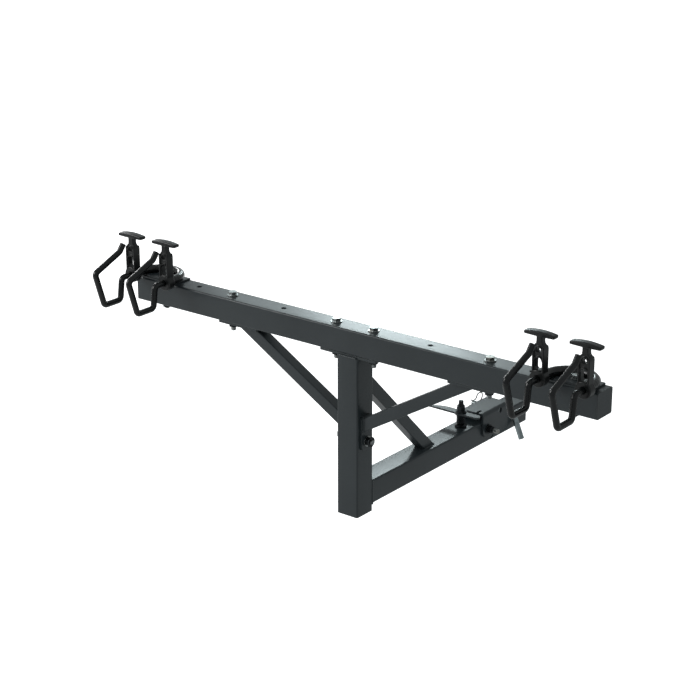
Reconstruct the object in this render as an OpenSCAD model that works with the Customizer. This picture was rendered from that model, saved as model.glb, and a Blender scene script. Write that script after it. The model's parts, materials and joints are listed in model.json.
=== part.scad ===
// Hitch mounted bike rack: receiver insert and tilt bracket, long shank, post,
// braced crossbeam, and two pairs of bent hooks with rubber straps.
// Origin: centre of the hitch pin hole on the shank axis.
// +X right, +Y toward the vehicle, +Z up. Millimetres.

/* [Square tubes] */
// Side of the main square tube
tube = 50.8; // [50:0.1:51]
// Wall of the main square tube
tube_wall = 3.2; // [2.5:0.1:4]
// Outer corner radius of the main square tube
tube_corner = 3.5; // [2:0.5:5]
// Side of the brace and strut tube
brace = 25.4; // [22:0.2:28]
// Wall of the brace and strut tube
brace_wall = 2.5; // [1.5:0.5:3]

/* [Layout] */
// Distance from the hitch pin hole to the post
post_reach = 536; // [500:1:600]
// Height of the crossbeam's top above the shank axis
beam_top = 353.4; // [340:0.2:420]
// Length of the crossbeam
beam_length = 1120; // [1115:1:1300]
// How far the post reaches below the shank axis
post_drop = 40; // [30:1:60]
// Distance from the hitch pin hole to the insert's free end
insert_tail = 54; // [45:1:120]

/* [Tilt bracket] */
// Distance from the hitch pin hole to the tilt pivot
pivot_reach = 104; // [102:1:106]
// Height of the tilt pivot above the shank axis
pivot_rise = 7.4; // [7:0.2:8]
// Thickness of the bracket plate
bracket_plate = 4.5; // [4:0.5:5]
// Diameter of the pivot bolt
pivot_d = 10; // [10:1:12]

/* [Hooks] */
// Distance from the middle of the beam to the middle of a hook pair
hook_pair_x = 500; // [480:1:502]
// Spacing of the two hooks in a pair
hook_spacing = 94; // [92:1:100]
// Diameter of the hook rod
rod_d = 12.7; // [11:0.1:13]
// Outer diameter of the rubber hose on the hook base
sleeve_d = 19; // [18:0.5:19]

/* [Straps] */
// Height of the strap's handle above the rod
strap_h = 84; // [80:1:90]
// Width of the strap's handle bar
strap_bar_w = 64; // [60:1:76]
// Thickness of the strap
strap_t = 18; // [14:1:18]

/* [Bolts] */
// Diameter of the frame bolts
bolt_d = 10; // [8:1:10]
// Diameter of the bolt holes in the frame
hole_d = 11; // [10.6:0.1:12]

/* [Hidden] */
$fn = 48;
bend_step = 0.04;
bend_lap = 0.2;

half = tube / 2;
brace_half = brace / 2;
coat = "#3c4144";
zinc = "#c9ccce";
dark_steel = "#34373a";
black_rubber = "#1d1e20";

// Frame levels
post_y = -post_reach;
post_back = post_y + half;
plate_t = 5;
beam_bottom = beam_top - tube;
plate_bottom = beam_bottom - plate_t;
cap_t = 3;

// Crossbeam hole positions, measured from the middle
centre_bolt_x = 46;
free_hole_xs = [180, 407];
brace_bolt_x = 315;

// Braces: centre line through brace_ref_x at brace_ref_z, rising outward
brace_angle = 30.5;
brace_ref_x = 100;
brace_ref_z = beam_top - 154.9;
brace_foot_x = half + plate_t;
cross_bolt_z = beam_top - 233;
foot_top = beam_top - 179;
foot_bottom = beam_top - 250;

// Strut: upper face meets the post back at strut_top, falling at 45 degrees
strut_top = beam_top - 98;
strut_angle = 45;

// Tilt bracket
pivot_y = -pivot_reach;
bracket_front = pivot_y - 19;
bracket_rear = -28;
bracket_gap = 0.1;
bracket_half = half + bracket_gap + bracket_plate;
bracket_top = half + 21;
bracket_round = 19.5;
tail_r = 33;
cope_r = 36.5;
lock_y = -58;
lock_z = 36.2;
lock_d = 11;
lock_clip_x = -38;

// Latch on the shank
latch_y = -166;
lever_z = 54;
lever_t = 4;

// Hooks
hook_plate_t = 3.5;
rod_z = beam_top + hook_plate_t + sleeve_d / 2 + 0.1;
bow_r = hook_spacing / 2;
bow_y = post_y - 25.5;
clamp_plate_t = 4;

// Straps
strap_y = post_y - 58;
strap_back = strap_y + strap_t;
boss_r = 17;
eyelet_r = rod_d / 2 + 0.05;

// ---------- helpers ----------

// Square with rounded corners, centred
module round_square(side, r) {
    inner = side - 2 * r;
    square([side, inner], center = true);
    square([inner, side], center = true);
    for (sx = [-1, 1], sy = [-1, 1])
        translate([sx * inner / 2, sy * inner / 2]) circle(r);
}

// Square tube from z = 0 up
module square_tube(side, wall, r, length) {
    linear_extrude(length)
        difference() {
            round_square(side, r);
            round_square(side - 2 * wall, max(r - wall, 0.6));
        }
}

// Solid or drilled disc along X, from x to x + length
module x_rod(d, x, length) {
    translate([x, 0, 0]) rotate([0, 90, 0]) cylinder(h = length, d = d);
}

// Hexagonal prism along Z by its width across flats
module hex(across, h) {
    cylinder(h = h, d = across / cos(30), $fn = 6);
}

// Hex head bolt: head sits on z = 0, shank goes down
module hex_bolt(d, length, washer_t = 2) {
    cylinder(h = washer_t, d = d * 2.25);
    translate([0, 0, washer_t]) hex(d * 1.6, d * 0.64);
    translate([0, 0, -length + 1]) cylinder(h = length - 1, d = d);
    translate([0, 0, -length]) cylinder(h = 1, d1 = d - 2, d2 = d);
}

// Flanged hex nut with its top face on z = 0
module hex_nut(d, h) {
    flange_t = 2;
    difference() {
        union() {
            translate([0, 0, -h]) hex(d * 1.6, h);
            translate([0, 0, -flange_t]) cylinder(h = flange_t, d = d * 2.1);
        }
        translate([0, 0, -h - 1]) cylinder(h = h + 2, d = d + 0.1);
    }
}

function heading(a, b) = atan2(b.y - a.y, b.x - a.x);
function turn(a, b, c) =
    let (t = heading(b, c) - heading(a, b))
    t > 180 ? t - 360 : t < -180 ? t + 360 : t;
function trim(pts, i, r) =
    (i == 0 || i == len(pts) - 1) ? 0 : r * tan(abs(turn(pts[i - 1], pts[i], pts[i + 1])) / 2);

// Round rod through the corner points of a plane path, each corner bent to radius r.
// A bend is a hair thicker than the straights, which run a little way into it.
module bent_rod(pts, r, d) {
    last = len(pts) - 1;
    for (i = [0 : last - 1]) {
        a = heading(pts[i], pts[i + 1]);
        start = i == 0 ? 0 : trim(pts, i, r) - bend_lap;
        stop = i + 1 == last ? 0 : trim(pts, i + 1, r) - bend_lap;
        translate([pts[i].x + start * cos(a), pts[i].y + start * sin(a), 0])
            rotate([0, 0, a]) rotate([0, 90, 0])
                cylinder(h = norm(pts[i + 1] - pts[i]) - start - stop, d = d);
    }
    for (i = [1 : last - 1]) {
        a = heading(pts[i - 1], pts[i]);
        t = turn(pts[i - 1], pts[i], pts[i + 1]);
        side = sign(t);
        back = trim(pts, i, r);
        centre = [
            pts[i].x - back * cos(a) - side * r * sin(a),
            pts[i].y - back * sin(a) + side * r * cos(a)
        ];
        translate([centre.x, centre.y, 0])
            rotate([0, 0, t > 0 ? a - 90 : a + 90 + t])
                bow(r, d, abs(t));
    }
}

// Bent stretch of rod about the Z axis
module bow(r, d, angle) {
    rotate_extrude(angle = angle) translate([r, 0]) circle(d = d + bend_step);
}

// Turns a plane path (x, y) into the (Y, Z) plane at a given X
module in_yz(x) {
    translate([x, 0, 0]) rotate([90, 0, 90]) children();
}

// Draws a child on the +X side and its mirror image on the -X side
module both_sides() {
    for (s = [0, 1]) mirror([s, 0, 0]) children();
}

// ---------- receiver side ----------

module receiver_insert() {
    front = pivot_y + 8;
    color(coat) difference() {
        translate([0, front, 0]) rotate([-90, 0, 0])
            square_tube(tube, tube_wall, tube_corner, insert_tail - front);
        translate([0, pivot_y, pivot_rise]) x_rod(2 * cope_r, -tube, 2 * tube);
        x_rod(13.5, -tube, 2 * tube);
    }
}

// Side outline of the bracket, front lower corner rounded about the pivot
module bracket_side() {
    rear_r = 12;
    height = bracket_top - (pivot_rise - bracket_round);
    difference() {
        union() {
            translate([pivot_y, pivot_rise]) circle(bracket_round);
            translate([pivot_y - bracket_round, pivot_rise])
                square([bracket_rear - pivot_y + bracket_round, bracket_top - pivot_rise]);
            translate([pivot_y, bracket_top - height])
                square([bracket_rear - pivot_y, height]);
        }
        translate([bracket_rear - rear_r, bracket_top - height])
            difference() {
                square(rear_r + 1);
                translate([0, rear_r]) circle(rear_r);
            }
    }
}

// Cross section of the folded channel: outer profile minus the inner one
module bracket_section() {
    fold_r = 8;
    depth = bracket_top + half;
    module arch(w, top, r) {
        translate([-w, top - depth - 20]) square([2 * w, depth + 20 - r]);
        translate([-w + r, top - r]) square([2 * (w - r), r]);
        for (s = [-1, 1]) translate([s * (w - r), top - r]) circle(r);
    }
    difference() {
        arch(bracket_half, bracket_top, fold_r);
        arch(bracket_half - bracket_plate, bracket_top - bracket_plate, fold_r - bracket_plate);
    }
}

module tilt_bracket() {
    notch = [6, 18];
    notch_x = 10;
    color(coat) difference() {
        intersection() {
            translate([0, bracket_rear + 1, 0]) rotate([90, 0, 0])
                linear_extrude(bracket_rear - bracket_front + 3) bracket_section();
            rotate([90, 0, 90]) translate([0, 0, -tube]) linear_extrude(2 * tube) bracket_side();
        }
        translate([0, pivot_y, pivot_rise]) x_rod(pivot_d + 0.2, -tube, 2 * tube);
        translate([0, lock_y, lock_z]) x_rod(lock_d + 1.4, -tube, 2 * tube);
        translate([notch_x, bracket_front - 2, half + 10]) cube([notch.x, notch.y, 20]);
    }
}

module pivot_bolt() {
    grip = bracket_half + 2.5;
    color(zinc) translate([0, pivot_y, pivot_rise]) {
        x_rod(pivot_d, -grip, 2 * grip + 24);
        rotate([0, -90, 0]) translate([0, 0, grip]) hex(pivot_d * 1.5, 7.5);
    }
}

module pivot_washers() {
    color(zinc) translate([0, pivot_y, pivot_rise])
        both_sides()
            difference() {
                x_rod(22, bracket_half, 2.5);
                x_rod(pivot_d + 0.2, bracket_half - 1, 5);
            }
}

module pivot_nut() {
    color(dark_steel) translate([bracket_half + 2.5, pivot_y, pivot_rise]) rotate([0, 90, 0])
        difference() {
            union() {
                hex(pivot_d * 1.55, 9);
                cylinder(h = 12.5, d = pivot_d * 1.4);
            }
            translate([0, 0, -1]) cylinder(h = 15, d = pivot_d + 0.1);
        }
}

module hitch_pin() {
    clip_x = -44;
    color(zinc) difference() {
        union() {
            rotate([90, 0, 0]) bent_rod([[-50, 0], [31, 0], [50, -45]], 9, 12.7);
            translate([-53, 0, 0]) rotate([0, 90, 0]) cylinder(h = 3, d1 = 9, d2 = 12.7);
        }
        translate([clip_x, 0, 0]) rotate([90, 0, 0]) cylinder(h = 40, d = 3.8, center = true);
    }
}

module hitch_pin_clip() {
    color(zinc) in_yz(-44)
        bent_rod([[24, 0], [-32, 0], [-32, 9], [-8, 8.2], [2, 11], [13, 8.2], [22, 13]], 4, 3);
}

module lock_pin() {
    end_x = -44;
    near_x = bracket_half - 3.5;
    tip = 2;
    color(zinc) translate([0, lock_y, lock_z]) difference() {
        union() {
            x_rod(lock_d, end_x + tip, near_x - end_x - 2 * tip);
            translate([near_x - tip, 0, 0]) rotate([0, 90, 0])
                cylinder(h = tip, d1 = lock_d, d2 = lock_d - 3);
            translate([end_x, 0, 0]) rotate([0, 90, 0])
                cylinder(h = tip, d1 = lock_d - 3, d2 = lock_d);
        }
        translate([lock_clip_x, 0, 0]) rotate([90, 0, 0]) cylinder(h = 40, d = 3.4, center = true);
    }
}

// Spring clip through the lock pin, its eye toward the vehicle
module lock_pin_clip() {
    color(zinc) translate([0, lock_y, lock_z]) in_yz(lock_clip_x)
        bent_rod([
            [-22, 0], [30, 0], [30, 19], [11, 19], [5, 7.8], [-7, 7.8], [-14, 12]
        ], 9, 2.4);
}

// ---------- frame ----------

module shank_tube() {
    length = pivot_y + tail_r - post_back;
    keep = tube;
    color(coat) difference() {
        translate([0, post_back, 0]) rotate([-90, 0, 0])
            square_tube(tube, tube_wall, tube_corner, length);
        difference() {
            translate([-keep, pivot_y, -keep]) cube([2 * keep, 2 * keep, 2 * keep]);
            translate([0, pivot_y, pivot_rise]) x_rod(2 * tail_r, -2 * keep, 4 * keep);
        }
        translate([0, pivot_y, pivot_rise]) x_rod(pivot_d + 0.1, -tube, 2 * tube);
        translate([0, latch_y, 0]) cylinder(h = tube, d = 10.4);
    }
}

module post_tube() {
    bottom = -post_drop + cap_t;
    color(coat) difference() {
        translate([0, post_y, bottom]) square_tube(tube, tube_wall, tube_corner, plate_bottom - bottom);
        translate([0, post_y, cross_bolt_z]) x_rod(hole_d, -tube, 2 * tube);
    }
}

// Moulded plug: flange outside the tube and a hollow skirt inside it
module tube_plug(skirt) {
    inner = tube - 2 * tube_wall - 0.6;
    linear_extrude(cap_t) round_square(tube, tube_corner);
    translate([0, 0, cap_t - 0.5]) linear_extrude(skirt + 0.5)
        difference() {
            round_square(inner, 1.5);
            round_square(inner - 5, 1);
        }
}

module post_end_cap() {
    color(black_rubber) translate([0, post_y, -post_drop]) tube_plug(14);
}

module beam_end_caps() {
    color(black_rubber) both_sides()
        translate([beam_length / 2, post_y, beam_top - half]) rotate([0, -90, 0]) tube_plug(14);
}

module diagonal_strut() {
    run_past = 60;
    length = 420;
    color(coat) intersection() {
        translate([0, post_back, strut_top]) rotate([-90 - strut_angle, 0, 0])
            translate([0, brace_half, -run_past]) square_tube(brace, brace_wall, 2, length);
        translate([-tube, post_back, half]) cube([2 * tube, length, length]);
    }
}

module centre_plate() {
    plate_x = 68;
    plate_y = 24;
    color(coat) difference() {
        translate([-plate_x, post_y - plate_y, plate_bottom]) cube([2 * plate_x, 2 * plate_y, plate_t]);
        for (s = [-1, 1]) translate([s * centre_bolt_x, post_y, plate_bottom - 1])
            cylinder(h = plate_t + 2, d = hole_d);
    }
}

module crossbeam() {
    hole_xs = concat([centre_bolt_x, brace_bolt_x, hook_pair_x], free_hole_xs);
    length = beam_length - 2 * cap_t;
    color(coat) difference() {
        translate([-length / 2, post_y, beam_top - half]) rotate([0, 90, 0])
            square_tube(tube, tube_wall, tube_corner, length);
        for (x = hole_xs, s = [-1, 1])
            translate([s * x, post_y, beam_bottom - 1]) cylinder(h = tube + 2, d = hole_d);
    }
}

// One brace, drawn on the +X side: sloping tube, beam tab and post tab
module brace_shape() {
    length = 320;
    tab_y = 22;
    foot_y = 16.5;
    tab_in = 235;
    tab_out = 335;
    foot_r = 6;
    intersection() {
        translate([brace_ref_x, post_y, brace_ref_z]) rotate([0, 90 - brace_angle, 0])
            translate([0, 0, -length / 2]) square_tube(brace, brace_wall, 2, 1.2 * length);
        translate([brace_foot_x - 0.5, post_y - tube, 0])
            cube([400, 2 * tube, plate_bottom + 0.5]);
    }
    difference() {
        translate([tab_in, post_y - tab_y, plate_bottom]) cube([tab_out - tab_in, 2 * tab_y, plate_t]);
        translate([brace_bolt_x, post_y, plate_bottom - 1]) cylinder(h = plate_t + 2, d = hole_d);
    }
    translate([half, post_y, 0]) rotate([90, 0, 90]) linear_extrude(plate_t)
        difference() {
            union() {
                translate([-foot_y, foot_bottom + foot_r]) square([2 * foot_y, foot_top - foot_bottom - 2 * foot_r]);
                translate([-foot_y + foot_r, foot_bottom]) square([2 * (foot_y - foot_r), foot_top - foot_bottom]);
                for (s = [-1, 1], z = [foot_bottom + foot_r, foot_top - foot_r])
                    translate([s * (foot_y - foot_r), z]) circle(foot_r);
            }
            translate([0, cross_bolt_z]) circle(d = hole_d);
        }
}

module brace_right() {
    color(coat) brace_shape();
}

module brace_left() {
    color(coat) mirror([1, 0, 0]) brace_shape();
}

// ---------- frame bolts ----------

bolt_tail = 19;
nut_h = 10.5;

module beam_bolts(x, grip) {
    color(zinc) for (s = [-1, 1]) translate([s * x, post_y, beam_top]) hex_bolt(bolt_d, grip);
}

module beam_nuts(x, level) {
    color(dark_steel) for (s = [-1, 1]) translate([s * x, post_y, level]) hex_nut(bolt_d, nut_h);
}

module centre_bolts() { beam_bolts(centre_bolt_x, tube + plate_t + bolt_tail); }
module centre_nuts() { beam_nuts(centre_bolt_x, plate_bottom); }
module brace_bolts() { beam_bolts(brace_bolt_x, tube + plate_t + bolt_tail); }
module brace_nuts() { beam_nuts(brace_bolt_x, plate_bottom); }

module post_cross_bolt() {
    grip = half + plate_t + 2;
    color(zinc) translate([0, post_y, cross_bolt_z]) {
        x_rod(bolt_d, -grip, 2 * grip + 13);
        translate([-grip, 0, 0]) rotate([0, -90, 0]) hex(bolt_d * 1.6, 6.5);
    }
}

module post_cross_washers() {
    color(zinc) translate([0, post_y, cross_bolt_z])
        both_sides()
            difference() {
                x_rod(22, half + plate_t, 2);
                x_rod(bolt_d + 0.2, half, 20);
            }
}

module post_cross_nut() {
    color(dark_steel) translate([half + plate_t + 2, post_y, cross_bolt_z])
        rotate([0, 90, 0]) translate([0, 0, 9]) hex_nut(bolt_d, 9);
}

// ---------- hooks ----------

// Corner points of one hook in (Y, Z), from the bow toward the tip
hook_pts = [
    [bow_y + bend_lap, rod_z], [post_y - 84, rod_z], [post_y - 90, beam_top - 33],
    [post_y - 137, beam_top - 33], [post_y - 160, beam_top + 40],
    [post_y - 87, beam_top + 70], [post_y - 76, beam_top + 84]
];

module hook_rod() {
    color(coat) {
        for (s = [-1, 1]) in_yz(s * bow_r) bent_rod(hook_pts, 9, rod_d);
        translate([0, bow_y, rod_z]) bow(bow_r, rod_d, 180);
    }
}

module hook_rod_left() { translate([-hook_pair_x, 0, 0]) hook_rod(); }
module hook_rod_right() { translate([hook_pair_x, 0, 0]) hook_rod(); }

// Rubber hose around the bow of the hook rod
module hook_hose() {
    bore = rod_d + 0.5;
    leg = bow_y - strap_back - 0.5;
    color(black_rubber) translate([0, bow_y, rod_z]) {
        rotate_extrude(angle = 180) translate([bow_r, 0])
            difference() { circle(d = sleeve_d); circle(d = bore); }
        for (s = [-1, 1]) translate([s * bow_r, 0, 0]) rotate([90, 0, 0])
            difference() {
                cylinder(h = leg, d = sleeve_d);
                translate([0, 0, -1]) cylinder(h = leg + 2, d = bore);
            }
    }
}

module hook_hose_left() { translate([-hook_pair_x, 0, 0]) hook_hose(); }
module hook_hose_right() { translate([hook_pair_x, 0, 0]) hook_hose(); }

module hook_base_plates() {
    plate_x = 46;
    plate_y = 24;
    color(coat) for (s = [-1, 1]) translate([s * hook_pair_x, post_y, beam_top])
        difference() {
            translate([-plate_x, -plate_y, 0]) cube([2 * plate_x, 2 * plate_y, hook_plate_t]);
            translate([0, 0, -1]) cylinder(h = hook_plate_t + 2, d = hole_d);
        }
}

// Plate under the bolt head, rounded at the back to fit inside the bow
module hook_clamp_plates() {
    reach_x = 33;
    front_y = -23;
    back_y = 11;
    color(coat) for (s = [-1, 1])
        translate([s * hook_pair_x, post_y, beam_top + hook_plate_t])
            linear_extrude(clamp_plate_t)
                difference() {
                    intersection() {
                        translate([0, bow_y - post_y]) circle(bow_r - sleeve_d / 2 - 1);
                        translate([-reach_x, front_y]) square([2 * reach_x, back_y - front_y]);
                    }
                    circle(d = hole_d);
                }
}

module hook_bolts() {
    seat = beam_top + hook_plate_t + clamp_plate_t;
    color(zinc) for (s = [-1, 1]) translate([s * hook_pair_x, post_y, seat])
        hex_bolt(bolt_d, tube + hook_plate_t + clamp_plate_t + bolt_tail - 5);
}

module hook_nuts() { beam_nuts(hook_pair_x, beam_bottom); }

// ---------- latch ----------

module latch_stud() {
    top = 85;
    color(dark_steel) translate([0, latch_y, 0]) {
        translate([0, 0, half - tube_wall - 6]) cylinder(h = top - half + tube_wall + 6, d = 10);
        translate([0, 0, half - tube_wall - 12]) hex(17, 12);
        translate([0, 0, half]) cylinder(h = 4, d = 26);
        translate([0, 0, half + 4]) cylinder(h = 3, d1 = 26, d2 = 14);
    }
}

// Close-coiled spring as a stack of rings
module latch_spring() {
    coils = 6;
    wire = 2.6;
    pitch = 3.1;
    base = half + 8.6;
    color(dark_steel) translate([0, latch_y, base])
        for (i = [0 : coils - 1]) translate([0, 0, i * pitch])
            rotate_extrude() translate([8.2, 0]) circle(d = wire, $fn = 24);
    color(dark_steel) translate([0, latch_y, base])
        for (i = [0 : coils - 2]) rotate([0, 0, 180 * (i % 2)])
            translate([8.2, 0, i * pitch]) cylinder(h = pitch, d = wire, $fn = 24);
}

module latch_washer() {
    color(dark_steel) translate([0, latch_y, lever_z + lever_t + 0.1]) difference() {
        cylinder(h = 2.5, d = 25);
        translate([0, 0, -1]) cylinder(h = 5, d = 10.2);
    }
}

// Lock nut with a narrow collar on top
module latch_nut() {
    seat = lever_z + lever_t + 2.6;
    across = 17;
    collar = 15;
    nut_h = 10;
    color(dark_steel) translate([0, latch_y, seat]) difference() {
        union() {
            cylinder(h = 2, d = 21);
            translate([0, 0, 2]) hex(across, nut_h);
            translate([0, 0, 2 + nut_h]) cylinder(h = 4, d1 = collar, d2 = collar - 3);
        }
        translate([0, 0, -1]) cylinder(h = 20, d = 10.1);
    }
}

// Flat lever: short rounded claw to +X, long leaf shaped handle to -X
module latch_lever() {
    claw = 40;
    width = 16;
    handle = 79;
    tip_r = 2;
    overlap = 0.4;
    near = overlap - width / 2;
    color(coat) translate([0, latch_y, lever_z]) linear_extrude(lever_t)
        difference() {
            union() {
                circle(d = 26);
                translate([0, -width / 2]) square([claw, width]);
                translate([claw, 0]) circle(d = width + overlap);
                polygon([
                    [0, 10], [-20, 10.5], [-41, 10.5], [-58, 6],
                    [-handle, near + 2 * (tip_r - overlap)], [-handle, near], [0, near]
                ]);
                translate([-handle, near + tip_r - overlap]) circle(tip_r);
            }
            circle(d = 10.1);
        }
}

// ---------- straps ----------

// Front outline of a strap: boss round the rod, slotted body and lens shaped handle
module strap_outline() {
    bar_h = 10;
    bar_chord = 80;
    bar_r = (bar_chord * bar_chord / 4 + bar_h * bar_h / 4) / bar_h;
    body_w = 24;
    shoulder = strap_h - 28;
    neck_w = 13;
    slot_w = 14;
    slot_low = 22;
    slot_high = 33;
    top_hole = 55;
    difference() {
        union() {
            circle(boss_r);
            translate([-body_w / 2, 0]) square([body_w, shoulder]);
            translate([-neck_w / 2, shoulder]) square([neck_w, strap_h - shoulder]);
            translate([0, shoulder]) circle(d = body_w + bend_step);
            translate([0, strap_h]) intersection() {
                translate([0, bar_h / 2 - bar_r]) circle(bar_r, $fn = 180);
                translate([0, bar_r - bar_h / 2]) circle(bar_r, $fn = 180);
                square([strap_bar_w, 2 * bar_h], center = true);
            }
        }
        circle(eyelet_r);
        translate([-slot_w / 2, slot_low]) square([slot_w, slot_high - slot_low]);
        for (z = [slot_low, slot_high]) translate([0, z]) circle(d = slot_w);
        translate([0, top_hole]) circle(d = 0.75 * slot_w);
    }
}

module strap(x) {
    color(black_rubber) translate([x, strap_back, rod_z]) rotate([90, 0, 0])
        linear_extrude(strap_t) strap_outline();
}

module strap_left_outer() { strap(-hook_pair_x - bow_r); }
module strap_left_inner() { strap(-hook_pair_x + bow_r); }
module strap_right_inner() { strap(hook_pair_x - bow_r); }
module strap_right_outer() { strap(hook_pair_x + bow_r); }

// ---------- assembly ----------

receiver_insert();
tilt_bracket();
pivot_bolt();
pivot_washers();
pivot_nut();
hitch_pin();
hitch_pin_clip();
lock_pin();
lock_pin_clip();
shank_tube();
post_tube();
post_end_cap();
diagonal_strut();
centre_plate();
crossbeam();
beam_end_caps();
brace_left();
brace_right();
centre_bolts();
centre_nuts();
brace_bolts();
brace_nuts();
post_cross_bolt();
post_cross_washers();
post_cross_nut();
hook_rod_left();
hook_rod_right();
hook_hose_left();
hook_hose_right();
hook_base_plates();
hook_clamp_plates();
hook_bolts();
hook_nuts();
latch_stud();
latch_spring();
latch_washer();
latch_nut();
latch_lever();
strap_left_outer();
strap_left_inner();
strap_right_inner();
strap_right_outer();
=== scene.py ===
import json
import math

import bpy
import bmesh
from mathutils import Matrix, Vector


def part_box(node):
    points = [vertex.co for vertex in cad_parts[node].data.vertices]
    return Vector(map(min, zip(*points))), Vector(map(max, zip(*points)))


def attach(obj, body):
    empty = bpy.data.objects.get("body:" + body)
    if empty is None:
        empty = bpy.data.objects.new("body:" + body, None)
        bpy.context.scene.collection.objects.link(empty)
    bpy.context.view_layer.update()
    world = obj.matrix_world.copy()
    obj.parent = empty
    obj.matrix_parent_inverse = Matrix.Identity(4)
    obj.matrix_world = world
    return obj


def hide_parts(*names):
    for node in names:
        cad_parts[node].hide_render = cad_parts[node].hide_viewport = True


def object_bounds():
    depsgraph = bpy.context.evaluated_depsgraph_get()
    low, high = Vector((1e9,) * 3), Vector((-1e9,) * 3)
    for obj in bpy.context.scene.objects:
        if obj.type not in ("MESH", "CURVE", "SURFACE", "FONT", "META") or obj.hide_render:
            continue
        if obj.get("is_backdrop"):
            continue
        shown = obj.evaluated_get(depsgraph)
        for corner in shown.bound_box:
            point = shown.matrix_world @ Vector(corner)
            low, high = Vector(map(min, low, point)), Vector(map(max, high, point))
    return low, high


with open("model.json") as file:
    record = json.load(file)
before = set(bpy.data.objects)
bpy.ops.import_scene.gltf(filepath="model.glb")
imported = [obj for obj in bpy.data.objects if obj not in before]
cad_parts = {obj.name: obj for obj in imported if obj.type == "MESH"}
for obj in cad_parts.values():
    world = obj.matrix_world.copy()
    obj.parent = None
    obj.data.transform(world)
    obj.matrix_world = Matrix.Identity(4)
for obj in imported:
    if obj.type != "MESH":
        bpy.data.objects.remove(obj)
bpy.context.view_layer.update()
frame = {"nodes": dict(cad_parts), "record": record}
NODES = frame["nodes"]
scene = bpy.context.scene
MM = 0.001
UP = Vector((0, 0, 1))
DOWN = Vector((0, 0, -1))
RIGHT = Vector((1, 0, 0))
FORWARD = Vector((0, 1, 0))


# ---------------------------------------------------------------- materials

def srgb(r, g, b):
    """Linear RGBA of an 8-bit sRGB colour."""
    def lin(v):
        v /= 255
        return v / 12.92 if v <= 0.04045 else ((v + 0.055) / 1.055) ** 2.4
    return (lin(r), lin(g), lin(b), 1)


class Nodes:
    """Short names for building one material's node tree. Coordinates are the object's, in metres."""

    def __init__(self, name):
        self.mat = bpy.data.materials.new(name)
        self.mat.use_nodes = True
        self.tree = self.mat.node_tree
        self.bsdf = self.tree.nodes["Principled BSDF"]
        self.coord = self.add("ShaderNodeTexCoord").outputs["Object"]

    def add(self, kind, **values):
        n = self.tree.nodes.new(kind)
        for k, v in values.items():
            if hasattr(n, k):
                setattr(n, k, v)
            else:
                n.inputs[k].default_value = v
        return n

    def link(self, a, b):
        self.tree.links.new(a, b)

    def noise(self, scale, detail=3.0, rough=0.5, stretch=None):
        n = self.add("ShaderNodeTexNoise", Scale=scale, Detail=detail, Roughness=rough)
        self.link(self.stretched(stretch), n.inputs["Vector"])
        return n.outputs["Fac"]

    def stretched(self, stretch):
        if stretch is None:
            return self.coord
        m = self.add("ShaderNodeMapping")
        m.inputs["Scale"].default_value = stretch
        self.link(self.coord, m.inputs["Vector"])
        return m.outputs["Vector"]

    def ramp(self, fac, stops):
        r = self.add("ShaderNodeValToRGB")
        e = r.color_ramp.elements
        while len(e) < len(stops):
            e.new(0.5)
        for el, (pos, col) in zip(e, stops):
            el.position = pos
            el.color = (col, col, col, 1)
        self.link(fac, r.inputs["Fac"])
        return r.outputs["Color"]

    def mix(self, fac, a, b):
        m = self.add("ShaderNodeMix", data_type="RGBA")
        sockets = [s for s in m.inputs if s.enabled]
        for value, s in zip((fac, a, b), sockets):
            if hasattr(value, "links"):
                self.link(value, s)
            else:
                s.default_value = value
        return [o for o in m.outputs if o.enabled][0]

    def math(self, op, a, b):
        m = self.add("ShaderNodeMath", operation=op)
        for value, s in zip((a, b), m.inputs):
            if hasattr(value, "links"):
                self.link(value, s)
            else:
                s.default_value = value
        return m.outputs[0]

    def bump(self, height, distance, strength=1.0, below=None):
        b = self.add("ShaderNodeBump", Distance=distance, Strength=strength)
        self.link(height, b.inputs["Height"])
        if below is not None:
            self.link(below, b.inputs["Normal"])
        return b.outputs["Normal"]

    def edges(self, radius=0.0012):
        """1 on sharp edges, 0 on flats: how far a rounded normal leans from the true one."""
        bev = self.add("ShaderNodeBevel", samples=4, Radius=radius)
        geo = self.add("ShaderNodeNewGeometry")
        dot = self.add("ShaderNodeVectorMath", operation="DOT_PRODUCT")
        self.link(bev.outputs["Normal"], dot.inputs[0])
        self.link(geo.outputs["Normal"], dot.inputs[1])
        return self.ramp(dot.outputs["Value"], ((0.82, 1.0), (0.985, 0.0)))

    def rounded(self, radius):
        """Normal with edges rounded off by a radius."""
        return self.add("ShaderNodeBevel", samples=4, Radius=radius).outputs["Normal"]

    def set(self, **sockets):
        """Fills the shader's sockets, underscores standing for spaces, and returns the material."""
        for k, v in sockets.items():
            s = self.bsdf.inputs[k.replace("_", " ")]
            if hasattr(v, "links"):
                self.link(v, s)
            else:
                s.default_value = v
        return self.mat


def powder_coat():
    """Charcoal powder coat: fine orange peel, slight colour drift, specks of dust and rubbed edges."""
    n = Nodes("powder_coat")
    drift = n.noise(7, 4)
    base = n.mix(n.ramp(drift, ((0.3, 0.0), (0.7, 1.0))), srgb(41, 48, 51), srgb(50, 57, 60))
    speck = n.ramp(n.noise(1500, 1), ((0.62, 0.0), (0.74, 1.0)))
    base = n.mix(n.math("MULTIPLY", speck, 0.06), base, srgb(120, 126, 130))
    patches = n.ramp(n.noise(160, 5, 0.7), ((0.50, 0.0), (0.66, 0.5)))
    worn = n.math("MULTIPLY", n.edges(), patches)
    base = n.mix(worn, base, srgb(96, 102, 106))
    rough = n.math("ADD", n.math("MULTIPLY", n.noise(60, 4), 0.05), 0.285)
    normal = n.bump(n.noise(420, 2, 0.45), 0.00010, 0.05, n.rounded(0.0012))
    normal = n.bump(n.noise(2600, 1), 0.00003, 0.06, normal)
    return n.set(Base_Color=base, Roughness=rough, Normal=normal)


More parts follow.
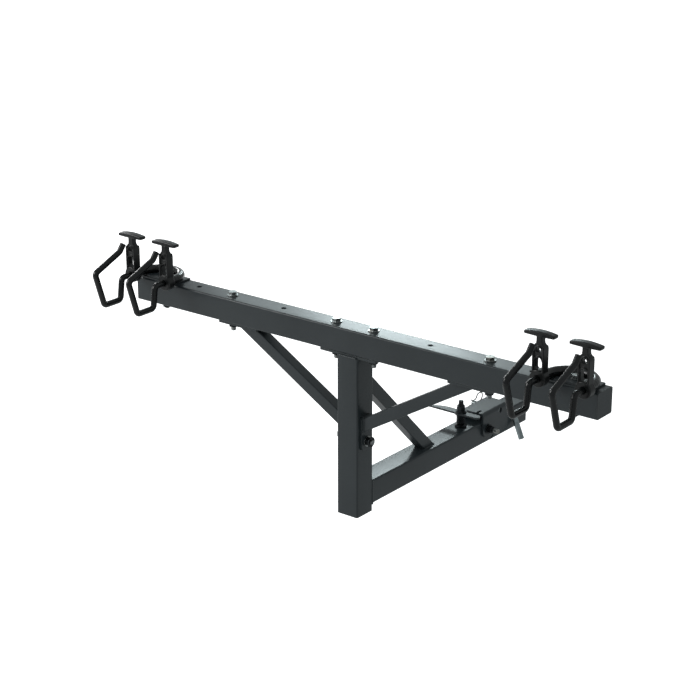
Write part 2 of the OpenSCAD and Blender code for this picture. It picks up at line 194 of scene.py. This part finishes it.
def rod_coat():
    """Textured black coating on the bent rods: a lumpy skin that catches small highlights."""
    n = Nodes("rod_coat")
    pebble = n.add("ShaderNodeTexVoronoi", Scale=240.0)
    n.link(n.coord, pebble.inputs["Vector"])
    cells = pebble.outputs["Distance"]
    drift = n.ramp(n.noise(60, 4), ((0.35, 0.0), (0.65, 1.0)))
    base = n.mix(drift, srgb(5, 6, 7), srgb(14, 17, 18))
    normal = n.bump(n.noise(260, 3, 0.6), 0.0007, 0.6)
    normal = n.bump(cells, 0.0004, 0.3, normal)
    rough = n.math("ADD", n.math("MULTIPLY", n.noise(120, 3), 0.28), 0.08)
    return n.set(Base_Color=base, Roughness=rough, Normal=normal)


def zinc():
    """Zinc plate with faint cloudy passivation and fine turning marks."""
    n = Nodes("zinc")
    cloud = n.noise(90, 4)
    base = n.mix(n.ramp(cloud, ((0.3, 0.0), (0.7, 1.0))), srgb(142, 152, 154), srgb(172, 182, 184))
    stain = n.ramp(n.noise(30, 3), ((0.55, 0.0), (0.75, 0.35)))
    base = n.mix(stain, base, srgb(180, 178, 166))
    rough = n.math("ADD", n.math("MULTIPLY", cloud, 0.22), 0.2)
    normal = n.bump(n.noise(900, 2, 0.5, (1, 1, 6)), 0.00004, 0.5, n.rounded(0.0003))
    return n.set(Base_Color=base, Metallic=1.0, Roughness=rough, Normal=normal)


def bolt_zinc():
    """Duller zinc on the bolts: darker flats, a painted highlight on the corners and a warm stain."""
    n = Nodes("bolt_zinc")
    cloud = n.noise(200, 4)
    base = n.mix(n.ramp(cloud, ((0.3, 0.0), (0.7, 1.0))), srgb(116, 120, 120), srgb(164, 168, 168))
    stain = n.ramp(n.noise(60, 3), ((0.5, 0.0), (0.7, 0.5)))
    base = n.mix(stain, base, srgb(144, 136, 118))
    # Painted highlight: near-white colour laid along every edge of the bolts, nuts and washers
    base = n.mix(n.math("MULTIPLY", n.edges(0.0006), 0.6), base, srgb(230, 233, 235))
    rough = n.math("ADD", n.math("MULTIPLY", cloud, 0.2), 0.16)
    normal = n.bump(n.noise(900, 2, 0.5, (1, 1, 6)), 0.00004, 0.5, n.rounded(0.0004))
    return n.set(Base_Color=base, Metallic=1.0, Roughness=rough, Normal=normal)


def dark_steel():
    """Black oxide steel with an oily sheen and lighter corners, partly rubbed wear and partly a
    painted highlight.
    """
    n = Nodes("dark_steel")
    cloud = n.ramp(n.noise(150, 4), ((0.35, 0.0), (0.7, 1.0)))
    base = n.mix(cloud, srgb(26, 29, 31), srgb(48, 52, 55))
    # Lighter grey on every edge: partly rubbed wear, partly a painted highlight
    base = n.mix(n.math("MULTIPLY", n.edges(0.0006), 0.4), base, srgb(130, 133, 136))
    rough = n.math("ADD", n.math("MULTIPLY", n.noise(260, 3), 0.2), 0.24)
    normal = n.bump(n.noise(1200, 2), 0.00004, 0.6, n.rounded(0.0003))
    return n.set(Base_Color=base, Metallic=0.7, Roughness=rough, Normal=normal)


def rubber():
    """Moulded black rubber: satin skin, fine grain, faint bloom and a few scuffs."""
    n = Nodes("rubber")
    bloom = n.ramp(n.noise(38, 5, 0.6), ((0.35, 0.0), (0.75, 1.0)))
    base = n.mix(bloom, srgb(4, 5, 6), srgb(13, 16, 17))
    scuff = n.ramp(n.noise(240, 3, 0.6, (1, 1, 0.15)), ((0.66, 0.0), (0.74, 1.0)))
    base = n.mix(n.math("MULTIPLY", scuff, 0.12), base, srgb(90, 94, 96))
    rough = n.math("ADD", n.math("MULTIPLY", bloom, 0.14), 0.26)
    normal = n.bump(n.noise(1700, 2), 0.00006, 0.5)
    normal = n.bump(n.noise(110, 3), 0.00018, 0.4, normal)
    return n.set(Base_Color=base, Roughness=rough, Normal=normal, Sheen_Weight=0.03)


def hose_rubber():
    """Smooth shiny hose rubber, slightly dimpled."""
    n = Nodes("hose_rubber")
    bloom = n.ramp(n.noise(50, 4), ((0.35, 0.0), (0.7, 1.0)))
    base = n.mix(bloom, srgb(4, 5, 6), srgb(11, 13, 14))
    rough = n.math("ADD", n.math("MULTIPLY", n.noise(90, 4), 0.14), 0.16)
    normal = n.bump(n.noise(320, 4, 0.6), 0.0004, 0.3)
    return n.set(Base_Color=base, Roughness=rough, Normal=normal, Coat_Weight=0.25, Coat_Roughness=0.2)


def plug():
    """Moulded black plastic end cap with a spark-eroded grain."""
    n = Nodes("plug")
    drift = n.ramp(n.noise(20, 3), ((0.3, 0.0), (0.7, 1.0)))
    base = n.mix(drift, srgb(44, 50, 52), srgb(52, 58, 60))
    normal = n.bump(n.noise(1300, 2, 0.6), 0.00012, 0.5, n.rounded(0.0008))
    rough = n.math("ADD", n.math("MULTIPLY", n.noise(600, 2), 0.12), 0.32)
    return n.set(Base_Color=base, Roughness=rough, Normal=normal)


MATS = {
    "powder_coat": powder_coat(),
    "rod_coat": rod_coat(),
    "zinc": zinc(),
    "dark_steel": dark_steel(),
    "rubber": rubber(),
    "plug": plug(),
}
HOSE = hose_rubber()
BOLT = bolt_zinc()
# Zinc pieces that stay bright; every other zinc piece is a bolt or a washer
PIN_NODES = ("hitch_pin", "hitch_pin_clip", "lock_pin")


# ---------------------------------------------------------------- smooth CAD nodes

WELD_DISTANCE = 2e-6
SHARP_CAD = math.radians(28)
SHARP_PIECE = math.radians(50)


def smoothing_group():
    """Modifier: weld the CAD faces and shade them smooth, keeping edges over SHARP_CAD sharp."""
    g = bpy.data.node_groups.new("weld_and_smooth", "GeometryNodeTree")
    g.interface.new_socket("Geometry", in_out="INPUT", socket_type="NodeSocketGeometry")
    g.interface.new_socket("Geometry", in_out="OUTPUT", socket_type="NodeSocketGeometry")
    first = g.nodes.new("NodeGroupInput")
    last = g.nodes.new("NodeGroupOutput")
    weld = g.nodes.new("GeometryNodeMergeByDistance")
    weld.inputs["Distance"].default_value = WELD_DISTANCE
    face = g.nodes.new("GeometryNodeSetShadeSmooth")
    face.domain = "FACE"
    edge = g.nodes.new("GeometryNodeSetShadeSmooth")
    edge.domain = "EDGE"
    edge.inputs["Shade Smooth"].default_value = False
    angle = g.nodes.new("GeometryNodeInputMeshEdgeAngle")
    sharp = g.nodes.new("FunctionNodeCompare")
    sharp.data_type = "FLOAT"
    sharp.operation = "GREATER_THAN"
    sharp.inputs[1].default_value = SHARP_CAD
    link = g.links.new
    link(first.outputs[0], weld.inputs["Geometry"])
    link(weld.outputs["Geometry"], face.inputs["Geometry"])
    link(face.outputs["Geometry"], edge.inputs["Geometry"])
    link(angle.outputs["Unsigned Angle"], sharp.inputs[0])
    link(sharp.outputs["Result"], edge.inputs["Selection"])
    link(edge.outputs["Geometry"], last.inputs[0])
    return g


SMOOTH = smoothing_group()
SLOT_OF = {s["node"]: s["material_slot"] for s in frame["record"]["subparts"]}
for name, obj in NODES.items():
    obj.data.materials.clear()
    slot = SLOT_OF[name]
    obj.data.materials.append(BOLT if slot == "zinc" and name not in PIN_NODES else MATS[slot])
    mod = obj.modifiers.new("smooth", "NODES")
    mod.node_group = SMOOTH


# ---------------------------------------------------------------- helpers for new pieces

def to_mesh(name, bm, mat):
    """Turns a bmesh in millimetres into a smooth shaded mesh in metres."""
    bmesh.ops.recalc_face_normals(bm, faces=bm.faces)
    bmesh.ops.scale(bm, vec=(MM, MM, MM), verts=bm.verts)
    mesh = bpy.data.meshes.new(name)
    bm.to_mesh(mesh)
    bm.free()
    mesh.materials.append(mat)
    mesh.polygons.foreach_set("use_smooth", [True] * len(mesh.polygons))
    mesh.set_sharp_from_angle(angle=SHARP_PIECE)
    return mesh


def add_piece(name, mesh, body, stands_for=(), place=(0, 0, 0)):
    """Object from a mesh, at a place in metres, riding on a body."""
    obj = bpy.data.objects.new(name, mesh)
    scene.collection.objects.link(obj)
    obj.location = place
    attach(obj, body)
    if stands_for:
        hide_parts(*stands_for)
    return obj


def bridge(bm, rings, closed):
    """Quads between rings of equal length; closed joins the last ring to the first."""
    pairs = list(zip(rings, rings[1:]))
    if closed:
        pairs.append((rings[-1], rings[0]))
    for a, b in pairs:
        for k in range(len(a)):
            j = (k + 1) % len(a)
            bm.faces.new((a[k], a[j], b[j], b[k]))


def sweep(bm, points, radius, up, sides=24, closed=False, bore=None):
    """Round tube along a path. radius(i, angle) shapes each ring; bore is the hole's radius."""
    last = len(points) - 1

    def skin(size):
        rings = []
        for i, p in enumerate(points):
            a = points[i - 1] if closed or i else points[0]
            b = points[(i + 1) % len(points)] if closed or i < last else points[last]
            t = (b - a).normalized()
            side = t.cross(up).normalized()
            rise = side.cross(t)
            rings.append([
                bm.verts.new(p + (side * math.cos(w) + rise * math.sin(w)) * size(i, w))
                for w in (2 * math.pi * k / sides for k in range(sides))
            ])
        bridge(bm, rings, closed)
        return rings

    outer = skin(radius)
    if closed:
        return
    if bore is None:
        bm.faces.new(outer[0])
        bm.faces.new(outer[-1])
        return
    inner = skin(lambda i, w: bore)
    for end in (0, -1):
        bridge(bm, [outer[end], inner[end]], False)


def ring_solid(bm, profile, sides=64):
    """Solid ring about the Y axis; profile is a closed loop of (radius, y)."""
    loops = [
        [bm.verts.new((r * math.cos(w), y, r * math.sin(w))) for r, y in profile]
        for w in (2 * math.pi * k / sides for k in range(sides))
    ]
    bridge(bm, loops, True)


def slab(bm, loops, depth):
    """Prism of outline loops of (x, z), holes included, centred on y = 0."""
    edges = []
    for loop in loops:
        vs = [bm.verts.new((x, -depth / 2, z)) for x, z in loop]
        edges += [bm.edges.new(pair) for pair in zip(vs, vs[1:] + vs[:1])]
    filled = bmesh.ops.triangle_fill(bm, edges=edges, use_beauty=True)["geom"]
    faces = [g for g in filled if isinstance(g, bmesh.types.BMFace)]
    pushed = bmesh.ops.extrude_face_region(bm, geom=faces)["geom"]
    verts = [g for g in pushed if isinstance(g, bmesh.types.BMVert)]
    bmesh.ops.translate(bm, vec=(0, depth, 0), verts=verts)


def arc(x, z, r, start, stop, steps=16):
    """Points of a circular arc, angles in degrees."""
    turns = (math.radians(start + (stop - start) * k / steps) for k in range(steps + 1))
    return [(x + r * math.cos(a), z + r * math.sin(a)) for a in turns]


def applied(name, mesh, voxel, smoothing):
    """Voxel remeshes and smooths a mesh, and returns the result."""
    obj = bpy.data.objects.new(name, mesh)
    scene.collection.objects.link(obj)
    remesh = obj.modifiers.new("remesh", "REMESH")
    remesh.mode = "VOXEL"
    remesh.voxel_size = voxel * MM
    remesh.use_smooth_shade = True
    smooth = obj.modifiers.new("smooth", "SMOOTH")
    smooth.factor = 0.5
    smooth.iterations = smoothing
    depsgraph = bpy.context.evaluated_depsgraph_get()
    result = bpy.data.meshes.new_from_object(obj.evaluated_get(depsgraph))
    result.name = name
    bpy.data.objects.remove(obj)
    return result


# ---------------------------------------------------------------- rubber straps

# Handle in millimetres: half length, height over the rod's axis, half depth, half height in the
# middle, loss of half height and drop of the middle line at the ends
HANDLE_HALF = 31.9
HANDLE_Z = 83.8
HANDLE_DEPTH = 9.1
HANDLE_HEIGHT = 5.1
HANDLE_THINNING = 2.0
HANDLE_DROOP = 1.2
# The last part of the half length, over which the ends round off
HANDLE_END = 0.06
# Below 1: how square the handle's section is
HANDLE_SQUARENESS = 0.42
HANDLE_STEPS = 32
HANDLE_SIDES = 40
STRAP_VOXEL = 0.7
STRAP_SMOOTHING = 3
# (radius, y) round the rod
BOSS_PROFILE = ((6.45, -9), (15.2, -9), (16.6, -7.6), (16.6, 7.6), (15.2, 9), (6.45, 9))
# (x, z) of the right half
BODY_SIDE = [(12, 9), (12, 54)]
NECK_SIDE = [(6.3, 69), (6.1, 80)]
RAIL_OUTLINE = ((8.6, 9), (12.1, 9), (12.1, 56), (11.2, 60.5), (8.6, 62.5))
BODY_T, RAIL_T, RIM_T = 11.5, 18, 16
WINDOW_R, WINDOW_LOW_Z, WINDOW_HIGH_Z = 7.1, 22, 33
ARCH_R, ARCH_FLOOR_Z, ARCH_Z = 5.2, 49.5, 54.3


def handle_section(x):
    """Half depth, half height and middle height of the strap's handle at x."""
    t = abs(x) / HANDLE_HALF
    past = max(0.0, (t - (1 - HANDLE_END)) / HANDLE_END)
    end = 0.65 + 0.35 * math.sqrt(max(0.0, 1 - past ** 2))
    depth = HANDLE_DEPTH * (1 - 0.06 * t * t) * end
    height = (HANDLE_HEIGHT - HANDLE_THINNING * t * t) * end
    return depth, height, HANDLE_Z - HANDLE_DROOP * t * t


def squared(value):
    """Sine or cosine pushed outward, so that a circle turns into a rounded square."""
    return math.copysign(abs(value) ** HANDLE_SQUARENESS, value)


def strap_mesh():
    """Strap about the rod's axis: boss, windowed body with raised rails, neck and arched handle."""
    bm = bmesh.new()
    ring_solid(bm, BOSS_PROFILE)
    right = BODY_SIDE + arc(0, 56, 12, 4, 55, 8) + NECK_SIDE
    outline = right + [(-x, z) for x, z in reversed(right)]
    window = arc(0, WINDOW_LOW_Z, WINDOW_R, 180, 360) + arc(0, WINDOW_HIGH_Z, WINDOW_R, 0, 180)
    arch_floor = [(-ARCH_R, ARCH_FLOOR_Z), (ARCH_R, ARCH_FLOOR_Z)]
    slab(bm, [outline, window, arch_floor + arc(0, ARCH_Z, ARCH_R, 0, 180)], BODY_T)
    for s in (-1, 1):
        slab(bm, [[(s * x, z) for x, z in RAIL_OUTLINE]], RAIL_T)
    outer, inner = WINDOW_R + 2.1, WINDOW_R + 0.1
    window_rim = arc(0, WINDOW_HIGH_Z, outer, 0, 180)
    window_rim += [(-outer, WINDOW_HIGH_Z), (-inner, WINDOW_HIGH_Z)]
    slab(bm, [window_rim + arc(0, WINDOW_HIGH_Z, inner, 180, 0)], RIM_T)
    arch_rim = arc(0, ARCH_Z, ARCH_R + 2.4, -20, 200) + arc(0, ARCH_Z, ARCH_R + 0.1, 200, -20)
    slab(bm, [arch_rim], RIM_T)
    sections = []
    for k in range(2 * HANDLE_STEPS + 1):
        x = HANDLE_HALF * (k / HANDLE_STEPS - 1)
        depth, height, middle = handle_section(x)
        turns = (2 * math.pi * q / HANDLE_SIDES for q in range(HANDLE_SIDES))
        sections.append([
            bm.verts.new((x, depth * squared(math.cos(w)), middle + height * squared(math.sin(w))))
            for w in turns
        ])
    bridge(bm, sections, False)
    bm.faces.new(sections[0])
    bm.faces.new(sections[-1])
    return applied("strap", to_mesh("strap_blank", bm, MATS["rubber"]), STRAP_VOXEL, STRAP_SMOOTHING)


ROD_Z = sum(corner.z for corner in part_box("hook_hose_left")) / 2
STRAP = strap_mesh()
for name in ("strap_left_outer", "strap_left_inner", "strap_right_inner", "strap_right_outer"):
    middle = sum(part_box(name), Vector()) / 2
    add_piece(name + "_rubber", STRAP, name + "_body", [name], (middle.x, middle.y, ROD_Z))


# ---------------------------------------------------------------- rubber hoses

HOSE_R = (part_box("hook_hose_left")[1].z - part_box("hook_hose_left")[0].z) / 2 / MM
HOSE_BORE = 6.55
HOSE_SIDES = 40
BOW_STEPS = 120
LEG_STEPS = 8
# Room inside the CAD hose for the creases
CREASE_ROOM = 0.25


def hose_mesh(half_width, leg):
    """Hose round the hook's bow, open at both ends, with soft creases inside the bend."""
    bow = half_width - HOSE_R
    path = [Vector((bow, -leg + leg * k / LEG_STEPS, 0)) for k in range(LEG_STEPS)]
    path += [Vector((x, y, 0)) for x, y in arc(0, 0, bow, 0, 180, BOW_STEPS)]
    path += [Vector((-bow, -leg * k / LEG_STEPS, 0)) for k in range(1, LEG_STEPS + 1)]

    def radius(i, w):
        inside = 0.5 + 0.5 * math.cos(w)
        crease = math.sin(i * 1.15) * 0.5 + math.sin(i * 0.41 + 1) * 0.5
        return HOSE_R - CREASE_ROOM + crease * (0.06 + 0.16 * inside)

    bm = bmesh.new()
    sweep(bm, path, radius, UP, HOSE_SIDES, bore=HOSE_BORE)
    return to_mesh("hose", bm, HOSE)


low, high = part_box("hook_hose_left")
HALF_WIDTH = (high.x - low.x) / 2 / MM
BOW_Y = high.y - (high.x - low.x) / 2
HOSE_MESH = hose_mesh(HALF_WIDTH, (BOW_Y - low.y) / MM)
for name in ("hook_hose_left", "hook_hose_right"):
    low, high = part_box(name)
    place = ((low.x + high.x) / 2, BOW_Y, ROD_Z)
    add_piece(name + "_rubber", HOSE_MESH, "rack", [name], place)


# ---------------------------------------------------------------- spring, welds and threads

SPRING_WIRE_R = 1.3
SPRING_TURNS = 6.6
SPRING_STEPS = 40
SPRING_GAP = 0.1


def spring():
    """Wound spring between the stud's flange and the lever, its end turns closer together."""
    low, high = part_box("latch_spring")
    coil = (high.x - low.x) / 2 / MM - SPRING_WIRE_R
    start_z = low.z / MM + SPRING_WIRE_R
    end_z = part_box("latch_lever")[0].z / MM - SPRING_WIRE_R - SPRING_GAP
    total = SPRING_STEPS * SPRING_TURNS
    points = []
    for k in range(int(total) + 1):
        t = k / total
        rise = t * t * (3 - 2 * t) * 0.35 + t * 0.65
        a = 2 * math.pi * k / SPRING_STEPS
        z = start_z + (end_z - start_z) * rise
        points.append(Vector((coil * math.cos(a), coil * math.sin(a), z)))
    bm = bmesh.new()
    sweep(bm, points, lambda i, w: SPRING_WIRE_R, UP, 16)
    middle = (low + high) / 2
    mesh = to_mesh("spring", bm, MATS["dark_steel"])
    place = (middle.x, middle.y, 0)
    add_piece("latch_spring_coil", mesh, "rack", ["latch_spring"], place)


WELD_STEP = 0.9
WELD_SIDES = 12


def weld(name, corners, normal, body, size=2.4, closed=False):
    """Weld bead with ripples along straight runs between corners, all in one plane."""
    stops = [Vector(c) for c in corners]
    if closed:
        stops.append(stops[0])
    points = []
    for a, b in zip(stops, stops[1:]):
        count = max(2, round((b - a).length / WELD_STEP))
        points += [a.lerp(b, k / count) for k in range(count)]
    if not closed:
        points.append(stops[-1])

    def radius(i, w):
        end = 1 if closed else min(1, 0.35 + 0.3 * min(i, len(points) - 1 - i))
        ripple = 0.1 * abs(math.sin(i * 0.62)) + 0.05 * math.sin(i * 0.23 + 1)
        return size * end * (0.9 + ripple)

    bm = bmesh.new()
    sweep(bm, points, radius, Vector(normal), WELD_SIDES, closed)
    mesh = to_mesh("weld_" + name, bm, MATS["powder_coat"])
    add_piece("weld_" + name, mesh, body)


THREAD_PITCH = 1.5
THREAD_STEPS = 28
# How far a thread starts past its nut and stops short of the bolt's end
THREAD_START = 0.4
THREAD_SHORT = 0.8
M10_R = 5


def thread(name, base, axis, length, body, slot):
    """Helical ridge over the bare end of an M10 bolt, fading at both ends."""
    u = axis.orthogonal().normalized()
    v = axis.cross(u)
    total = int(length / THREAD_PITCH * THREAD_STEPS)
    bm = bmesh.new()
    rings = []
    for k in range(total + 1):
        a = 2 * math.pi * k / THREAD_STEPS
        out = u * math.cos(a) + v * math.sin(a)
        mid = base + axis * (THREAD_PITCH * k / THREAD_STEPS)
        crest = M10_R + 0.32 * min(1, k / 10, (total - k) / 10) + 0.02
        root = M10_R - 0.15
        shape = ((root, -0.62), (crest, -0.1), (crest, 0.1), (root, 0.62))
        rings.append([bm.verts.new(mid + out * r + axis * h) for r, h in shape])
    bridge(bm, rings, False)
    bm.faces.new(rings[0])
    bm.faces.new(rings[-1])
    mat = BOLT if slot == "zinc" else MATS[slot]
    add_piece(name, to_mesh(name, bm, mat), body)


def box_mm(node):
    """A node's box corners in millimetres."""
    return [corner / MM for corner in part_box(node)]


spring()

post_low, post_high = box_mm("post_tube")
_, strut_high = box_mm("diagonal_strut")
bracket_low, bracket_high = box_mm("tilt_bracket")
HALF = post_high.x
BRACE_HALF = strut_high.x
BACK_Y = post_high.y
MID_Y = (post_low.y + post_high.y) / 2
PLATE_BOTTOM = post_high.z
# Beads end this far inside a tube's corners
SEAM = HALF - 0.9
# Length of the strut's cut ends on the post and on the shank
STRUT_CUT = 35
# Thickness of the braces' end tabs, and where the braces meet the tab and the beam
TAB_T = 5
BRACE_FOOT_Z = (142.8, 172.2)
BRACE_TOP_X = (243.2, 293.2)
# Run of the bead under the bracket
BRACKET_RUN_Y = (-85, -32)


def ring(points, inner, outer):
    """Four corners of a bead round a brace's end: two values of one axis, at two depths."""
    low, high = points
    return [(low, inner), (high, inner), (high, outer), (low, outer)]


FRONT, BACK = MID_Y - BRACE_HALF, MID_Y + BRACE_HALF
SHANK_SEAM = ((-SEAM, -HALF), (SEAM, -HALF), (SEAM, HALF), (-SEAM, HALF))
weld("post_shank", [(x, BACK_Y, z) for x, z in SHANK_SEAM], FORWARD, "rack", closed=True)
for name, drop in (("strut_top", 1.5), ("strut_low", STRUT_CUT + 0.5)):
    z = strut_high.z - drop
    weld(name, [(-BRACE_HALF, BACK_Y, z), (BRACE_HALF, BACK_Y, z)], UP, "rack", 2)
for s, side in ((-1, "left"), (1, "right")):
    x = s * BRACE_HALF
    weld("strut_side_" + side, [(x, BACK_Y, strut_high.z - STRUT_CUT), (x, BACK_Y, strut_high.z - 2)],
         RIGHT, "rack", 1.8)
    weld("strut_foot_" + side, [(x, strut_high.y - STRUT_CUT, HALF), (x, strut_high.y - 1, HALF)],
         RIGHT, "rack", 1.8)
    x = s * HALF
    weld("bracket_" + side, [(x, bracket_high.y, -12), (x, bracket_high.y, HALF - 3)],
         FORWARD, "receiver", 2)
    weld("bracket_low_" + side, [(x, y, bracket_low.z) for y in BRACKET_RUN_Y], UP, "receiver", 2)
    weld("post_plate_" + side, [(x, post_low.y + 2, PLATE_BOTTOM), (x, post_high.y - 2, PLATE_BOTTOM)],
         UP, "rack", 2)
    x = s * (HALF + TAB_T)
    weld("brace_foot_" + side, [(x, y, z) for z, y in ring(BRACE_FOOT_Z, FRONT, BACK)],
         RIGHT, "rack", 1.8, True)
    weld("brace_top_" + side, [(s * x, y, PLATE_BOTTOM) for x, y in ring(BRACE_TOP_X, FRONT, BACK)],
         UP, "rack", 1.8, True)
weld("strut_foot_back", [(x, strut_high.y, HALF) for x in (-BRACE_HALF, BRACE_HALF)], UP, "rack", 2)
for y, side in ((post_low.y, "front"), (post_high.y, "back")):
    ends = [(-HALF + 2, y, PLATE_BOTTOM), (HALF - 2, y, PLATE_BOTTOM)]
    weld("post_plate_" + side, ends, UP, "rack", 2)

BOLT_HEAD_R = 11.25
for kind in ("centre", "brace", "hook"):
    bolt_low, bolt_high = box_mm(kind + "_bolts")
    nut_low, _ = box_mm(kind + "_nuts")
    length = nut_low.z - bolt_low.z - THREAD_START - 1
    for s, side in ((-1, "left"), (1, "right")):
        start = Vector((s * (bolt_high.x - BOLT_HEAD_R), MID_Y, nut_low.z - THREAD_START))
        thread(f"{kind}_bolt_thread_{side}", start, DOWN, length, "rack", "zinc")
for pair, body in (("post_cross", "rack"), ("pivot", "receiver")):
    _, bolt_high = box_mm(pair + "_bolt")
    nut_low, nut_high = box_mm(pair + "_nut")
    middle = (nut_low + nut_high) / 2
    start = Vector((nut_high.x + THREAD_START, middle.y, middle.z))
    length = bolt_high.x - nut_high.x - THREAD_START - THREAD_SHORT
    thread(pair + "_bolt_thread", start, RIGHT, length, body, "zinc")
stud_low, stud_high = box_mm("latch_stud")
_, nut_high = box_mm("latch_nut")
start = Vector((0, (stud_low.y + stud_high.y) / 2, nut_high.z + THREAD_START))
length = stud_high.z - nut_high.z - THREAD_START - THREAD_SHORT
thread("latch_stud_thread", start, UP, length, "rack", "dark_steel")


# ---------------------------------------------------------------- camera and light

scene.view_settings.view_transform = "Standard"

CAMERA_PLACE = (2.10217, -3.2485, 1.5400)
LENS, SENSOR = 96.24, 36
AZIMUTH, ELEVATION = math.radians(37.94), math.radians(19.80)

cam_data = bpy.data.cameras.new("camera")
cam_data.lens = LENS
cam_data.sensor_width = SENSOR
cam_data.clip_end = 200
camera = bpy.data.objects.new("camera", cam_data)
scene.collection.objects.link(camera)
back = Vector((
    math.sin(AZIMUTH) * math.cos(ELEVATION),
    -math.cos(AZIMUTH) * math.cos(ELEVATION),
    math.sin(ELEVATION),
))
camera.location = CAMERA_PLACE
camera.rotation_euler = back.to_track_quat("Z", "Y").to_euler()
scene.camera = camera


def area_light(name, place, aim, size, power, color=(1, 1, 1)):
    """Panel of a size in metres, aimed at a point and hidden from the camera."""
    data = bpy.data.lights.new(name, "AREA")
    data.shape = "RECTANGLE"
    data.size, data.size_y = size
    data.energy = power
    data.color = color
    obj = bpy.data.objects.new(name, data)
    scene.collection.objects.link(obj)
    obj.visible_camera = False
    obj.location = place
    obj.rotation_euler = (Vector(place) - Vector(aim)).to_track_quat("Z", "Y").to_euler()


area_light("key", (-2.6, -2.7, 1.9), (-0.6, -1.2, 0.0), (1.6, 1.6), 52)
area_light("strip", (-3.4, 1.2, 1.4), (0, -0.5, 0.3), (0.5, 2.4), 30)


def seen_from(point, azimuth, elevation, distance):
    """Place at a distance from a point, azimuth counted from +Y toward -X, in degrees."""
    a, e = math.radians(azimuth), math.radians(elevation)
    toward = Vector((-math.sin(a) * math.cos(e), math.cos(a) * math.cos(e), math.sin(e)))
    return Vector(point) + distance * toward


# Mirrored by the beam's top toward the camera: a bright panel in front of a wide dim one
BEAM_MIDDLE = (0.1, -0.536, 0.353)
ICE = (0.85, 0.98, 1.0)
for name, azimuth, distance, size, power in (
    ("back_panel", 36.4, 2.2, (0.46, 0.24), 3.9),
    ("back_wide", 36.5, 2.3, (1.15, 0.26), 3.0),
):
    area_light(name, seen_from(BEAM_MIDDLE, azimuth, 19.2, distance), BEAM_MIDDLE, size, power, ICE)

# Dim surroundings keep the black parts dark
WORLD_COLOR, WORLD_STRENGTH = (0.93, 0.99, 1, 1), 0.34
world = bpy.data.worlds.new("studio")
world.use_nodes = True
background = world.node_tree.nodes["Background"]
background.inputs["Color"].default_value = WORLD_COLOR
background.inputs["Strength"].default_value = WORLD_STRENGTH
scene.world = world

FLOOR_Z = -0.42
FLOOR_HALF = 30
FLOOR_GLOW = 0.95
FLOOR_WHITE = (0.8, 0.8, 0.8, 1)
floor_mesh = bpy.data.meshes.new("floor")
floor_bm = bmesh.new()
corners = [(-1, -1), (1, -1), (1, 1), (-1, 1)]
floor_bm.faces.new([floor_bm.verts.new((x * FLOOR_HALF, y * FLOOR_HALF, FLOOR_Z)) for x, y in corners])
floor_bm.to_mesh(floor_mesh)
floor_bm.free()
floor = bpy.data.objects.new("floor", floor_mesh)
scene.collection.objects.link(floor)

# The floor glows for the camera, and for reflections only behind the rack on its left
fn = Nodes("floor")
place_xyz = fn.add("ShaderNodeSeparateXYZ")
fn.link(fn.coord, place_xyz.inputs["Vector"])
behind = fn.ramp(fn.math("MULTIPLY", place_xyz.outputs["Y"], 0.4), ((0.1, 0.0), (0.8, 1.0)))
left = fn.ramp(fn.math("MULTIPLY", place_xyz.outputs["X"], -0.5), ((0.0, 0.0), (0.5, 1.0)))
back_left = fn.math("MULTIPLY", behind, left)
camera_ray = fn.add("ShaderNodeLightPath").outputs["Is Camera Ray"]
seen = fn.math("MAXIMUM", camera_ray, back_left)
glow = fn.math("MULTIPLY", seen, FLOOR_GLOW)
floor_mesh.materials.append(fn.set(
    Base_Color=FLOOR_WHITE,
    Roughness=0.9,
    Emission_Color=(1, 1, 1, 1),
    Emission_Strength=glow,
))
floor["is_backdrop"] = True

low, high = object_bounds()
